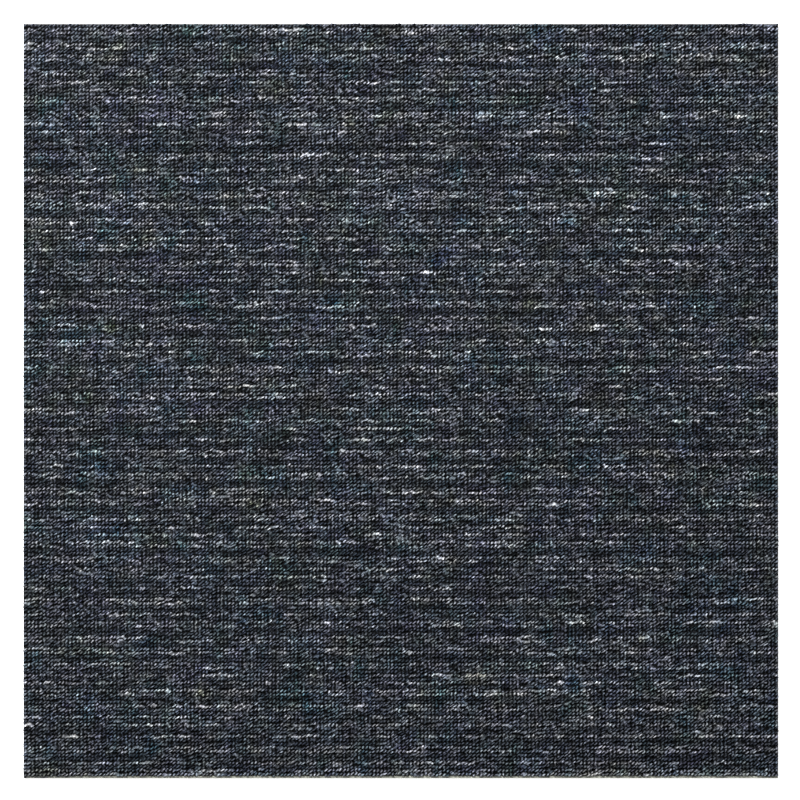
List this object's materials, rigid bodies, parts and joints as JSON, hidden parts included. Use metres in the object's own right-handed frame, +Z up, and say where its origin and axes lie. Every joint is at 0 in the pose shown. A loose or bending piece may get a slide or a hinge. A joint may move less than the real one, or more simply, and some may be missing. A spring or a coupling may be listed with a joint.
{
  "type": "carpet tile",
  "caption": "Square loop-pile carpet tile with a heavy backing; lies flat and butts against its neighbours to cover a floor.",
  "frame": {"origin": "middle of the underside", "axes": "+Z up through the pile, X along the rows of loops, Y across the rows"},
  "size_m": [0.5, 0.5, 0.006],
  "materials": {
    "pile_yarn": "dyed charcoal loop-pile yarn with off-white and blue flecks",
    "primary_cloth": "pale non-woven cloth",
    "backing_compound": "matt black filled compound faced with fleece"
  },
  "bodies": {
    "root": {"loop_pile": "pile_yarn", "primary_backing": "primary_cloth", "heavy_backing": "backing_compound"}
  },
  "joints": []
}
